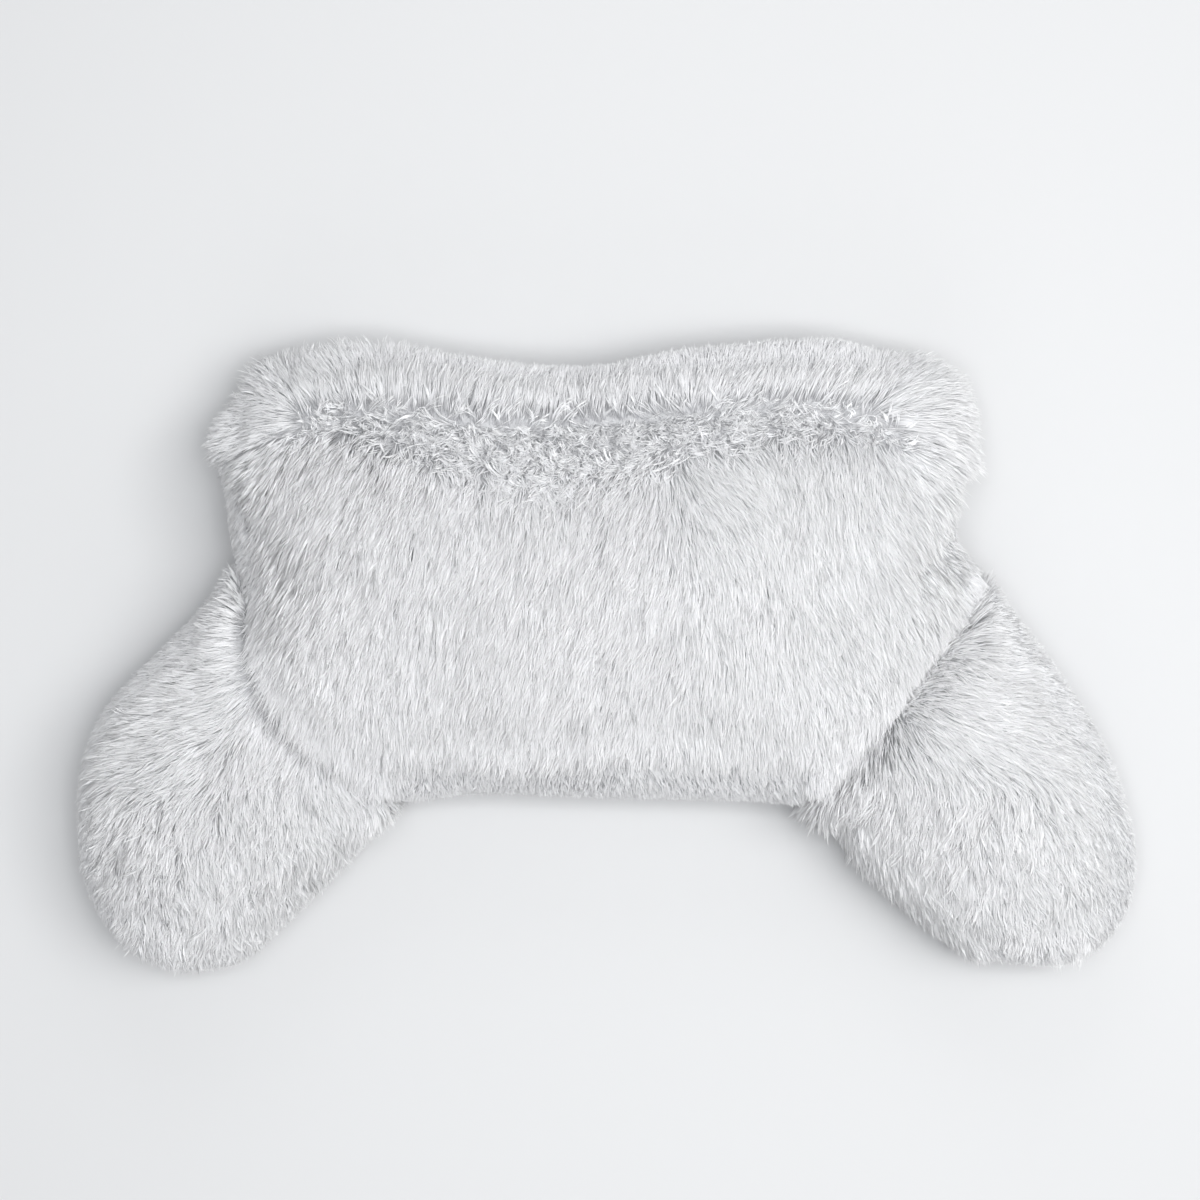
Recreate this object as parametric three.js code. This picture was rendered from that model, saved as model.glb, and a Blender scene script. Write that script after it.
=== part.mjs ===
// Cuddle cushion: a stuffed backrest with two stuffed arms, covered in long pile.
// It lies on its back. Millimetres, +Z up, X across the cushion, +Y towards its top edge.
// The origin is at the middle of its footprint, on the surface it lies on.
// Every solid reaches to the tips of the pile.
import * as THREE from "three";

// ---- driving dimensions, mm -------------------------------------------------
const SEW_GAP = 0.6; // free space left between the backrest and each arm
const BACK_POINTS = 88; // points round the backrest
const ARM_POINTS = 60; // points round an arm
// Rings over the front, as shares of the way from the crown out to the widest line.
const FRONT_STEPS = [0.994, 0.97, 0.93, 0.885, 0.84, 0.795, 0.755, 0.715, 0.675, 0.63, 0.56, 0.46, 0.34, 0.22, 0.11];
const UNDER_STEPS = [0.3, 0.65, 1]; // rings from the widest line down to the foot
const LUMP = 2.2; // unevenness of the stuffing
const SEAM_DEPTH = 10; // how far the top seam draws the pile in
const SEAM_WIDTH = 13; // half width of that valley

// The seams that join the arms, in plan from head end to foot end. The left one has a
// knee on its way.
const SEAM_LEFT = [
  [-306, 77],
  [-274, -31],
  [-180, -119],
];
const SEAM_RIGHT = [
  [315, 58],
  [172, -119],
];

// Each outline row is a section through the edge of a cushion, standing square to it.
// x, y   where the cushion is widest, in plan
// low    height at which the edge starts to tuck in under the cushion
// high   height at which it starts to roll over onto the front
// foot   how far in the cushion leaves the surface it lies on
// full   how full the stuffing makes the roll: 2 is a plain ellipse, more is boxier
const BACKREST = [
  { x: 0, y: -121, low: 40, high: 54, foot: 28, full: 2.3 },
  { x: 95, y: -124, low: 40, high: 54, foot: 28, full: 2.3 },
  { x: 150, y: -122, low: 34, high: 62, foot: 24, full: 2.3 },
  { x: 173, y: -116, low: 28, high: 90, foot: 20, full: 2.3 },
  { x: 216, y: -62, low: 22, high: 118, foot: 14, full: 2.5 },
  { x: 266, y: 2, low: 22, high: 114, foot: 14, full: 2.5 },
  { x: 311, y: 58, low: 30, high: 74, foot: 20, full: 2.2 },
  { x: 293, y: 104, low: 46, high: 60, foot: 38, full: 2.2 },
  { x: 304, y: 144, low: 46, high: 60, foot: 38, full: 2.2 },
  { x: 313, y: 184, low: 54, high: 68, foot: 46, full: 2.3 },
  { x: 307, y: 217, low: 54, high: 68, foot: 46, full: 2.3 },
  { x: 288, y: 247, low: 54, high: 68, foot: 46, full: 2.3 },
  { x: 248, y: 262, low: 50, high: 64, foot: 40, full: 2.6 },
  { x: 190, y: 267, low: 50, high: 64, foot: 40, full: 2.6 },
  { x: 120, y: 263, low: 50, high: 64, foot: 40, full: 2.6 },
  { x: 50, y: 256, low: 50, high: 64, foot: 40, full: 2.6 },
  { x: -15, y: 244, low: 50, high: 64, foot: 40, full: 2.6 },
  { x: -75, y: 247, low: 50, high: 64, foot: 40, full: 2.6 },
  { x: -140, y: 256, low: 50, high: 64, foot: 40, full: 2.6 },
  { x: -200, y: 257, low: 50, high: 64, foot: 40, full: 2.6 },
  { x: -256, y: 257, low: 54, high: 68, foot: 46, full: 2.3 },
  { x: -290, y: 251, low: 54, high: 68, foot: 46, full: 2.3 },
  { x: -312, y: 231, low: 54, high: 68, foot: 46, full: 2.3 },
  { x: -323, y: 206, low: 54, high: 68, foot: 46, full: 2.3 },
  { x: -328, y: 181, low: 54, high: 68, foot: 46, full: 2.3 },
  { x: -318, y: 148, low: 46, high: 60, foot: 38, full: 2.2 },
  { x: -313, y: 112, low: 46, high: 60, foot: 38, full: 2.2 },
  { x: -305, y: 77, low: 30, high: 70, foot: 20, full: 2.2 },
  { x: -289, y: 22, low: 22, high: 104, foot: 14, full: 2.5 },
  { x: -272, y: -30, low: 22, high: 122, foot: 14, full: 2.5 },
  { x: -226, y: -74, low: 22, high: 128, foot: 14, full: 2.5 },
  { x: -181, y: -116, low: 28, high: 92, foot: 20, full: 2.3 },
  { x: -156, y: -120, low: 34, high: 62, foot: 24, full: 2.3 },
  { x: -100, y: -118, low: 40, high: 54, foot: 28, full: 2.3 },
];

const ARM_LEFT = [
  { x: -308, y: 79, low: 28, high: 60, foot: 18, full: 2.1 },
  { x: -291, y: 22, low: 20, high: 98, foot: 12, full: 2.4 },
  { x: -274, y: -33, low: 20, high: 118, foot: 12, full: 2.4 },
  { x: -229, y: -77, low: 20, high: 125, foot: 12, full: 2.4 },
  { x: -181, y: -120, low: 28, high: 90, foot: 18, full: 2.2 },
  { x: -200, y: -152, low: 38, high: 60, foot: 28, full: 2.2 },
  { x: -234, y: -187, low: 40, high: 52, foot: 30, full: 2.2 },
  { x: -268, y: -222, low: 40, high: 52, foot: 30, full: 2.2 },
  { x: -300, y: -253, low: 44, high: 54, foot: 36, full: 2.2 },
  { x: -332, y: -267, low: 44, high: 54, foot: 36, full: 2.2 },
  { x: -364, y: -266, low: 44, high: 54, foot: 36, full: 2.2 },
  { x: -399, y: -253, low: 44, high: 54, foot: 36, full: 2.2 },
  { x: -425, y: -226, low: 40, high: 52, foot: 30, full: 2.2 },
  { x: -441, y: -191, low: 40, high: 52, foot: 30, full: 2.2 },
  { x: -446, y: -152, low: 40, high: 52, foot: 30, full: 2.2 },
  { x: -447, y: -116, low: 40, high: 52, foot: 30, full: 2.2 },
  { x: -441, y: -81, low: 40, high: 52, foot: 30, full: 2.2 },
  { x: -426, y: -46, low: 40, high: 52, foot: 30, full: 2.2 },
  { x: -402, y: -17, low: 40, high: 52, foot: 30, full: 2.2 },
  { x: -369, y: 16, low: 40, high: 52, foot: 30, full: 2.2 },
  { x: -337, y: 48, low: 40, high: 52, foot: 30, full: 2.2 },
];

const ARM_RIGHT = [
  { x: 172, y: -119, low: 28, high: 86, foot: 18, full: 2.2 },
  { x: 218, y: -61, low: 20, high: 113, foot: 12, full: 2.4 },
  { x: 276, y: 10, low: 20, high: 108, foot: 12, full: 2.4 },
  { x: 316, y: 60, low: 28, high: 64, foot: 18, full: 2.1 },
  { x: 338, y: 44, low: 40, high: 52, foot: 30, full: 2.2 },
  { x: 362, y: 13, low: 40, high: 52, foot: 30, full: 2.2 },
  { x: 388, y: -21, low: 40, high: 52, foot: 30, full: 2.2 },
  { x: 412, y: -58, low: 40, high: 52, foot: 30, full: 2.2 },
  { x: 429, y: -96, low: 40, high: 52, foot: 30, full: 2.2 },
  { x: 441, y: -134, low: 40, high: 52, foot: 30, full: 2.2 },
  { x: 447, y: -171, low: 40, high: 52, foot: 30, full: 2.2 },
  { x: 441, y: -209, low: 40, high: 52, foot: 30, full: 2.2 },
  { x: 421, y: -241, low: 44, high: 54, foot: 36, full: 2.2 },
  { x: 394, y: -260, low: 44, high: 54, foot: 36, full: 2.2 },
  { x: 353, y: -263, low: 44, high: 54, foot: 36, full: 2.2 },
  { x: 314, y: -254, low: 44, high: 54, foot: 36, full: 2.2 },
  { x: 277, y: -229, low: 40, high: 52, foot: 30, full: 2.2 },
  { x: 243, y: -199, low: 40, high: 52, foot: 30, full: 2.2 },
  { x: 209, y: -162, low: 40, high: 52, foot: 30, full: 2.2 },
  { x: 187, y: -136, low: 38, high: 60, foot: 28, full: 2.2 },
];

// Ridge along the top of each stuffed form: plan place and height of the crown.
const BACKREST_RIDGE = [
  { x: -190, y: 56, z: 178 },
  { x: -95, y: 52, z: 188 },
  { x: 0, y: 48, z: 186 },
  { x: 95, y: 52, z: 191 },
  { x: 190, y: 56, z: 180 },
];
const ARM_LEFT_RIDGE = [
  { x: -296, y: -66, z: 145 },
  { x: -315, y: -100, z: 150 },
  { x: -339, y: -146, z: 146 },
];
const ARM_RIGHT_RIDGE = [
  { x: 276, y: -50, z: 146 },
  { x: 306, y: -92, z: 152 },
  { x: 336, y: -148, z: 146 },
];

// The seam between the top strip and the front panel, which sags in the middle.
const TOP_SEAM = [
  [-262, 180],
  [-225, 196],
  [-150, 194],
  [-85, 185],
  [-45, 184],
  [-15, 189],
  [30, 193],
  [95, 197],
  [160, 201],
  [212, 192],
  [240, 175],
];

// ---- shaping functions ------------------------------------------------------

const COLUMNS = ["x", "y", "low", "high", "foot", "full"];

// A closed smooth curve through the rows, as count rows an even distance apart.
// It runs anticlockwise, seen from above.
function resample(given, count) {
  const n = given.length;
  let area = 0;
  given.forEach((p, i) => (area += p.x * given[(i + 1) % n].y - given[(i + 1) % n].x * p.y));
  const rows = area > 0 ? given : [...given].reverse();
  const at = (i) => rows[(i + n) % n];
  const fine = [];
  for (let i = 0; i < n; i++) {
    for (let k = 0; k < 12; k++) {
      const t = k / 12;
      const row = {};
      for (const c of COLUMNS) {
        const [a, b, d, e] = [at(i - 1)[c], at(i)[c], at(i + 1)[c], at(i + 2)[c]];
        row[c] =
          0.5 * (2 * b + (d - a) * t + (2 * a - 5 * b + 4 * d - e) * t * t + (3 * b - a - 3 * d + e) * t * t * t);
      }
      fine.push(row);
    }
  }
  const along = [0];
  for (let i = 1; i <= fine.length; i++) {
    const [p, q] = [fine[i - 1], fine[i % fine.length]];
    along.push(along[i - 1] + Math.hypot(q.x - p.x, q.y - p.y));
  }
  const out = [];
  let j = 0;
  for (let i = 0; i < count; i++) {
    const want = (along[fine.length] * i) / count;
    while (along[j + 1] < want) j++;
    const t = (want - along[j]) / (along[j + 1] - along[j]);
    const [p, q] = [fine[j], fine[(j + 1) % fine.length]];
    const row = {};
    for (const c of COLUMNS) row[c] = p[c] + (q[c] - p[c]) * t;
    out.push(row);
  }
  return out;
}

// The place on the ridge that a section of the outline leans towards.
function ridgePlace(ridge, x, y) {
  const [a, b] = [ridge[0], ridge[ridge.length - 1]];
  const [dx, dy] = [b.x - a.x, b.y - a.y];
  const length = Math.hypot(dx, dy);
  const along = ((x - (a.x + b.x) / 2) * dx + (y - (a.y + b.y) / 2) * dy) / length;
  const reach = Math.min(1, Math.max(-1, along / (length * 0.78)));
  const t = ((Math.sin((reach * Math.PI) / 2) + 1) / 2) * (ridge.length - 1);
  const i = Math.min(ridge.length - 2, Math.floor(t));
  const f = t - i;
  const [p, q] = [ridge[i], ridge[i + 1]];
  return { x: p.x + (q.x - p.x) * f, y: p.y + (q.y - p.y) * f, z: p.z + (q.z - p.z) * f };
}

function distanceToPath(path, x, y) {
  let best = Infinity;
  for (let i = 1; i < path.length; i++) {
    const [[ax, ay], [bx, by]] = [path[i - 1], path[i]];
    const [dx, dy] = [bx - ax, by - ay];
    const t = Math.min(1, Math.max(0, ((x - ax) * dx + (y - ay) * dy) / (dx * dx + dy * dy)));
    best = Math.min(best, Math.hypot(x - ax - dx * t, y - ay - dy * t));
  }
  return best;
}

// Slight lumps of stuffing, the same everywhere the form is cut.
function lump(x, y) {
  return (
    LUMP *
    (0.6 * Math.sin(x / 41 + 1.3) * Math.sin(y / 37 + 0.6) + 0.4 * Math.sin(x / 19 + y / 27) * Math.cos(y / 17 - x / 53))
  );
}

// Moves a plan point back onto its own side of a seam, which runs on straight past its
// two ends. side is 1 for a piece on the left of the seam, going from head to foot.
function heldBy(seam, side, x, y) {
  let near = Infinity;
  let held = [x, y];
  for (let i = 1; i < seam.length; i++) {
    const [[ax, ay], [bx, by]] = [seam[i - 1], seam[i]];
    const [dx, dy] = [bx - ax, by - ay];
    const length = Math.hypot(dx, dy);
    let t = ((x - ax) * dx + (y - ay) * dy) / (length * length);
    if (i > 1) t = Math.max(0, t);
    if (i < seam.length - 1) t = Math.min(1, t);
    const [qx, qy] = [ax + dx * t, ay + dy * t];
    const gap = Math.hypot(x - qx, y - qy);
    if (gap >= near) continue;
    near = gap;
    const [nx, ny] = [(dy / length) * side, (-dx / length) * side];
    const over = Math.sign((x - qx) * nx + (y - qy) * ny) * gap + SEW_GAP / 2;
    held = over > 0 ? [qx - (nx * SEW_GAP) / 2, qy - (ny * SEW_GAP) / 2] : [x, y];
  }
  return held;
}

// A stuffed form: rings from the foot, out to the widest line, over the roll of the
// edge and up to the crown, with a flat underside. seams lists what it is sewn to, valley a
// seam drawn into its front.
function stuffed(rows, points, ridge, seams, valley) {
  const outline = resample(rows, points);
  const rings = [];
  const ring = (place) => rings.push(outline.map(place));
  const inward = (o, d, z) => {
    const c = ridgePlace(ridge, o.x, o.y);
    const reach = Math.hypot(o.x - c.x, o.y - c.y);
    let [x, y] = [o.x + ((c.x - o.x) * d) / reach, o.y + ((c.y - o.y) * d) / reach];
    for (const s of seams) [x, y] = heldBy(s.line, s.side, x, y);
    return [x, y, z];
  };
  // Underside edge, from the foot up to the widest line.
  for (const u of [...UNDER_STEPS].reverse()) {
    ring((o) => inward(o, o.foot * u * u, o.low * (1 - u) * (1 - u)));
  }
  ring((o) => inward(o, 0, o.low));
  ring((o) => inward(o, 0, o.high));
  // Over the roll of the edge and up the front panel to the crown.
  for (const w of FRONT_STEPS) {
    ring((o) => {
      const c = ridgePlace(ridge, o.x, o.y);
      const reach = Math.hypot(o.x - c.x, o.y - c.y);
      const rise = Math.pow(1 - Math.pow(w, o.full), 1 / o.full);
      return inward(o, reach * (1 - w), o.high + (c.z - o.high) * rise);
    });
  }
  // The innermost ring runs evenly round the crown, without the notches of the outline.
  const crown = rings[rings.length - 1];
  for (let pass = 0; pass < 8; pass++) {
    const was = crown.map((p) => [...p]);
    crown.forEach((p, i) => {
      const [a, b] = [was[(i + points - 1) % points], was[(i + 1) % points]];
      for (let k = 0; k < 3; k++) p[k] = (a[k] + 2 * was[i][k] + b[k]) / 4;
    });
  }
  // Lumps and the drawn-in seam, on everything above the widest line.
  const firstTop = UNDER_STEPS.length + 2;
  for (let r = firstTop; r < rings.length; r++) {
    const grow = Math.min(1, (r - firstTop) / 3, 0.3 + (rings.length - r) / 5);
    for (const p of rings[r]) {
      p[2] += grow * lump(p[0], p[1]);
      if (valley) p[2] -= grow * SEAM_DEPTH * Math.exp(-Math.pow(distanceToPath(valley, p[0], p[1]) / SEAM_WIDTH, 2));
    }
  }

  const vertices = rings.flat();
  const faces = [];
  const n = points;
  for (let r = 0; r + 1 < rings.length; r++) {
    for (let i = 0; i < n; i++) {
      const j = (i + 1) % n;
      const [a, b, c, d] = [r * n + i, r * n + j, (r + 1) * n + j, (r + 1) * n + i];
      if ((i + r) % 2) faces.push([a, b, c], [a, c, d]);
      else faces.push([a, b, d], [b, c, d]);
    }
  }
  // The flat underside.
  const flat = rings[0].map(([x, y]) => new THREE.Vector2(x, y));
  for (const [a, b, c] of THREE.ShapeUtils.triangulateShape(flat, [])) {
    const [p, q, s] = [flat[a], flat[b], flat[c]];
    const turn = (q.x - p.x) * (s.y - p.y) - (q.y - p.y) * (s.x - p.x);
    faces.push(turn < 0 ? [a, b, c] : [a, c, b]);
  }
  // The crown, closed by a strip that runs along the ridge.
  const last = rings.length - 1;
  const [from, to] = [ridge[0], ridge[ridge.length - 1]];
  const along = rings[last].map(([x, y]) => (x - from.x) * (to.x - from.x) + (y - from.y) * (to.y - from.y));
  const start = along.indexOf(Math.min(...along));
  const end = along.indexOf(Math.max(...along));
  let [i, j] = [start, start];
  while (i !== end || j !== end) {
    const [nextI, nextJ] = [(i + 1) % n, (j + n - 1) % n];
    if (j === end || (i !== end && along[nextI] < along[nextJ])) {
      if (i !== j || nextI !== j) faces.push([last * n + i, last * n + nextI, last * n + j]);
      i = nextI;
    } else {
      faces.push([last * n + j, last * n + i, last * n + nextJ]);
      j = nextJ;
    }
  }

  const geometry = new THREE.BufferGeometry();
  geometry.setAttribute("position", new THREE.Float32BufferAttribute(vertices.flat(), 3));
  geometry.setIndex(faces.flat());
  geometry.computeVertexNormals();
  return geometry;
}

// ---- the three pieces -------------------------------------------------------

const pile = () => new THREE.MeshStandardMaterial({ color: 0xe9eaec, roughness: 0.95, metalness: 0 });

function piece(name, geometry) {
  const mesh = new THREE.Mesh(geometry, pile());
  mesh.name = name;
  return mesh;
}

const group = new THREE.Group();
group.name = "cuddle_cushion";
group.add(
  piece(
    "backrest",
    stuffed(
      BACKREST,
      BACK_POINTS,
      BACKREST_RIDGE,
      [
        { line: SEAM_LEFT, side: 1 },
        { line: SEAM_RIGHT, side: -1 },
      ],
      TOP_SEAM,
    ),
  ),
  piece("arm_left", stuffed(ARM_LEFT, ARM_POINTS, ARM_LEFT_RIDGE, [{ line: SEAM_LEFT, side: -1 }], null)),
  piece("arm_right", stuffed(ARM_RIGHT, ARM_POINTS, ARM_RIGHT_RIDGE, [{ line: SEAM_RIGHT, side: 1 }], null)),
);

// The origin goes to the middle of the footprint.
const middle = new THREE.Box3().setFromObject(group).getCenter(new THREE.Vector3());
for (const mesh of group.children) mesh.position.set(-middle.x, -middle.y, 0);

export default group;
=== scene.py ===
import math

import bpy
import numpy as np
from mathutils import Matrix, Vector
from mathutils.kdtree import KDTree


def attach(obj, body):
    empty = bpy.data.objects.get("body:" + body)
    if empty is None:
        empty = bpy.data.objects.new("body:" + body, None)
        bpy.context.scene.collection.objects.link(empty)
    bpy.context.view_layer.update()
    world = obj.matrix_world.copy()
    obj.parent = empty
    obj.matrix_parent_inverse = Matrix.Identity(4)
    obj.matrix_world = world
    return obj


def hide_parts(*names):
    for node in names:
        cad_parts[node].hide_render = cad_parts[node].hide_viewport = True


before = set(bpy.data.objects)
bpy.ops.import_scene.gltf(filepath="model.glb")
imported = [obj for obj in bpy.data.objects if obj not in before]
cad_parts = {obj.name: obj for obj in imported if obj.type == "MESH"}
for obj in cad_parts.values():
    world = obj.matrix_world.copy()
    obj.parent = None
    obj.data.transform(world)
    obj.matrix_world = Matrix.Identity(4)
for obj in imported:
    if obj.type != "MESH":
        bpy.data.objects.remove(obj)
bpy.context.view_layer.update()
scene = bpy.context.scene

# ---- sizes, in metres ---------------------------------------------------------

# Seams that join the arms, in plan from head end to foot end. The left one has a knee.
SEAM = {
    "left": np.array([[-0.3058, 0.0775], [-0.2738, -0.0305], [-0.1798, -0.1185]]),
    "right": np.array([[0.3152, 0.0585], [0.1722, -0.1185]]),
}
FLOOR_CLEAR = 0.0015  # the cloth itself stands this far off the floor
VOXEL = 0.007
SWELL_CAP = 0.003  # how far the stuffing may push the cloth out

# How far under the tips of the pile the cloth lies: on the front, on the walls, on the
# puffed top corners and where the cushion is pressed on the floor or its neighbour.
PILE_FRONT, PILE_WALL, PILE_EAR, PILE_PRESSED = 0.012, 0.0045, 0.022, 0.003

# ---- helpers on arrays --------------------------------------------------------


def unit(v):
    return v / np.maximum(np.linalg.norm(v, axis=-1, keepdims=True), 1e-12)


def smooth(lo, hi, x):
    t = np.clip((x - lo) / (hi - lo), 0, 1)
    return t * t * (3 - 2 * t)


def mix(a, b, share):
    return a + (b - a) * share


def arrays(mesh):
    """Vertices, vertex normals and triangles of a mesh."""
    n = len(mesh.vertices)
    co = np.empty(n * 3, np.float32)
    mesh.vertices.foreach_get("co", co)
    no = np.empty(n * 3, np.float32)
    mesh.vertex_normals.foreach_get("vector", no)
    mesh.calc_loop_triangles()
    tri = np.empty(len(mesh.loop_triangles) * 3, np.int32)
    mesh.loop_triangles.foreach_get("vertices", tri)
    return co.reshape(-1, 3).astype(float), no.reshape(-1, 3).astype(float), tri.reshape(-1, 3)


def edges(mesh):
    e = np.empty(len(mesh.edges) * 2, np.int32)
    mesh.edges.foreach_get("vertices", e)
    return e.reshape(-1, 2)


def relax(values, e, rounds, share=0.5):
    """Each vertex's value moved towards its neighbours' mean."""
    count = np.bincount(e.ravel(), minlength=len(values)).clip(1)
    v = np.array(values, float)
    flat = v.reshape(len(v), -1)
    for _ in range(rounds):
        out = np.empty_like(flat)
        for k in range(flat.shape[1]):
            out[:, k] = (
                np.bincount(e[:, 0], flat[e[:, 1], k], len(flat))
                + np.bincount(e[:, 1], flat[e[:, 0], k], len(flat))
            ) / count
        flat = flat * (1 - share) + out * share
    return flat.reshape(v.shape)


def put(mesh, co):
    mesh.vertices.foreach_set("co", np.ascontiguousarray(co, np.float32).ravel())
    mesh.update()


def to_seam(p, which):
    """Distance of plan points past a seam, above zero on the arm's side, how far along
    it they are, 0 at its head end and 1 at its foot end, and the way square to it. The
    seam runs on straight past its two ends."""
    path = SEAM[which]
    turn = 1.0 if which == "left" else -1.0
    lengths = np.linalg.norm(np.diff(path, axis=0), axis=1)
    starts = np.concatenate([[0.0], np.cumsum(lengths)])
    gap = np.full(len(p), np.inf)
    side, along = np.zeros(len(p)), np.zeros(len(p))
    square = np.zeros((len(p), 2))
    for i, (a, b) in enumerate(zip(path[:-1], path[1:])):
        d = (b - a) / lengths[i]
        n = np.array([d[1], -d[0]]) * turn
        t = (p[:, :2] - a) @ d
        if i > 0:
            t = np.maximum(t, 0)
        if i < len(lengths) - 1:
            t = np.minimum(t, lengths[i])
        off = p[:, :2] - (a + t[:, None] * d)
        far = np.linalg.norm(off, axis=1)
        closer = far < gap
        gap = np.where(closer, far, gap)
        side = np.where(closer, np.sign(off @ n) * far, side)
        along = np.where(closer, (starts[i] + t) / starts[-1], along)
        square[closer] = n
    return side, along, square


def baked(obj):
    """A new mesh with the object's modifiers applied."""
    dg = bpy.context.evaluated_depsgraph_get()
    return bpy.data.meshes.new_from_object(obj.evaluated_get(dg), depsgraph=dg)


# ---- camera, floor and light --------------------------------------------------

cam_data = bpy.data.cameras.new("camera")
cam_data.lens, cam_data.sensor_width = 80.0, 36.0
cam_data.clip_start, cam_data.clip_end = 0.1, 50.0
camera = bpy.data.objects.new("camera", cam_data)
scene.collection.objects.link(camera)
camera.location = (-0.0056, 0.0473, 2.30)
scene.camera = camera

scene.view_settings.view_transform = "Standard"
scene.cycles.max_bounces = 16
scene.cycles.diffuse_bounces = 10
scene.cycles.glossy_bounces = 2
scene.cycles.transmission_bounces = 2
scene.cycles.caustics_reflective = False
scene.cycles.caustics_refractive = False

world = bpy.data.worlds.new("studio")
world.use_nodes = True
world.node_tree.nodes["Background"].inputs["Color"].default_value = (0.965, 0.98, 1.0, 1)
world.node_tree.nodes["Background"].inputs["Strength"].default_value = 0.22
scene.world = world


def area_light(name, place, aim, size, watts, colour=(1, 1, 1)):
    data = bpy.data.lights.new(name, "AREA")
    data.shape, data.size, data.size_y = "RECTANGLE", size[0], size[1]
    data.energy, data.color = watts, colour
    obj = bpy.data.objects.new(name, data)
    scene.collection.objects.link(obj)
    obj.location = place
    way = np.array(aim, float) - np.array(place, float)
    obj.rotation_mode = "QUATERNION"
    obj.rotation_quaternion = Vector(way).to_track_quat("-Z", "Y")
    return obj


area_light("overhead", (0.0, 0.0, 3.0), (0.0, 0.0, 0.0), (1.2, 1.2), 44.0, (0.975, 0.985, 1.0))
area_light("key", (1.2, 0.0, 2.9), (0.0, 0.0, 0.05), (1.4, 1.4), 41.5, (1.0, 0.997, 0.99))
area_light("side", (2.3, 0.0, 2.6), (0.0, 0.0, 0.05), (1.6, 1.6), 5.0, (1.0, 0.997, 0.99))
area_light("side_top", (1.7, 1.6, 2.6), (0.0, 0.0, 0.05), (1.6, 1.6), 2.5, (1.0, 0.997, 0.99))
area_light("top_fill", (0.0, 2.4, 2.0), (0.0, 0.0, 0.05), (2.0, 1.4), 9.0, (0.98, 0.99, 1.0))
area_light("foot_fill", (0.0, -2.4, 2.0), (0.0, 0.0, 0.05), (2.0, 1.4), 6.5, (0.98, 0.99, 1.0))


def plain_material(name, rgb, rough):
    mat = bpy.data.materials.new(name)
    mat.use_nodes = True
    bsdf = mat.node_tree.nodes["Principled BSDF"]
    bsdf.inputs["Base Color"].default_value = (*rgb, 1)
    bsdf.inputs["Roughness"].default_value = rough
    bsdf.inputs["Specular IOR Level"].default_value = 0.2
    return mat


def make_floor():
    mesh = bpy.data.meshes.new("floor")
    r = 8.0
    mesh.from_pydata([(-r, -r, 0), (r, -r, 0), (r, r, 0), (-r, r, 0)], [], [(0, 1, 2, 3)])
    floor = bpy.data.objects.new("floor", mesh)
    scene.collection.objects.link(floor)
    mesh.materials.append(plain_material("floor_paint", (0.745, 0.75, 0.757), 0.9))
    return floor


make_floor()

# ---- materials ----------------------------------------------------------------


def pile_material(name, root, mid, tip):
    """Fibres: painted shade towards the root, where the deep pile lies in shadow, and their own near-white towards the
    tip, each a little different.
    """
    mat = bpy.data.materials.new(name)
    mat.use_nodes = True
    nt = mat.node_tree
    bsdf = nt.nodes["Principled BSDF"]
    along = nt.nodes.new("ShaderNodeAttribute")
    along.attribute_name = "along"
    tint = nt.nodes.new("ShaderNodeAttribute")
    tint.attribute_name = "tint"
    ramp = nt.nodes.new("ShaderNodeValToRGB")
    ramp.color_ramp.elements[0].position = 0.0
    ramp.color_ramp.elements[0].color = (*root, 1)
    ramp.color_ramp.elements[1].position = 1.0
    ramp.color_ramp.elements[1].color = (*tip, 1)
    middle = ramp.color_ramp.elements.new(0.45)
    middle.color = (*mid, 1)
    nt.links.new(along.outputs["Fac"], ramp.inputs["Fac"])
    shade = nt.nodes.new("ShaderNodeMapRange")
    shade.inputs["To Min"].default_value = 0.78
    shade.inputs["To Max"].default_value = 1.0
    nt.links.new(tint.outputs["Fac"], shade.inputs["Value"])
    mix = nt.nodes.new("ShaderNodeVectorMath")
    mix.operation = "SCALE"
    nt.links.new(ramp.outputs["Color"], mix.inputs[0])
    nt.links.new(shade.outputs["Result"], mix.inputs["Scale"])
    nt.links.new(mix.outputs["Vector"], bsdf.inputs["Base Color"])
    bsdf.inputs["Roughness"].default_value = 0.62
    bsdf.inputs["Specular IOR Level"].default_value = 0.35
    return mat


def cloth_material(name, rgb):
    """The knitted ground of the pile, which shows only between the locks, with its colour painted darker than the
    fibres as the shade that falls there.
    """
    mat = bpy.data.materials.new(name)
    mat.use_nodes = True
    nt = mat.node_tree
    bsdf = nt.nodes["Principled BSDF"]
    where = nt.nodes.new("ShaderNodeTexCoord")
    noise = nt.nodes.new("ShaderNodeTexNoise")
    noise.inputs["Scale"].default_value = 420.0
    noise.inputs["Detail"].default_value = 3.0
    ramp = nt.nodes.new("ShaderNodeValToRGB")
    ramp.color_ramp.elements[0].position = 0.3
    ramp.color_ramp.elements[0].color = (*[c * 0.86 for c in rgb], 1)
    ramp.color_ramp.elements[1].position = 0.7
    ramp.color_ramp.elements[1].color = (*rgb, 1)
    bump = nt.nodes.new("ShaderNodeBump")
    bump.inputs["Strength"].default_value = 0.4
    bump.inputs["Distance"].default_value = 0.001
    nt.links.new(where.outputs["Object"], noise.inputs["Vector"])
    nt.links.new(noise.outputs["Fac"], ramp.inputs["Fac"])
    nt.links.new(ramp.outputs["Color"], bsdf.inputs["Base Color"])
    nt.links.new(noise.outputs["Fac"], bump.inputs["Height"])
    nt.links.new(bump.outputs["Normal"], bsdf.inputs["Normal"])
    bsdf.inputs["Roughness"].default_value = 0.95
    bsdf.inputs["Sheen Weight"].default_value = 0.3
    return mat


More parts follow.
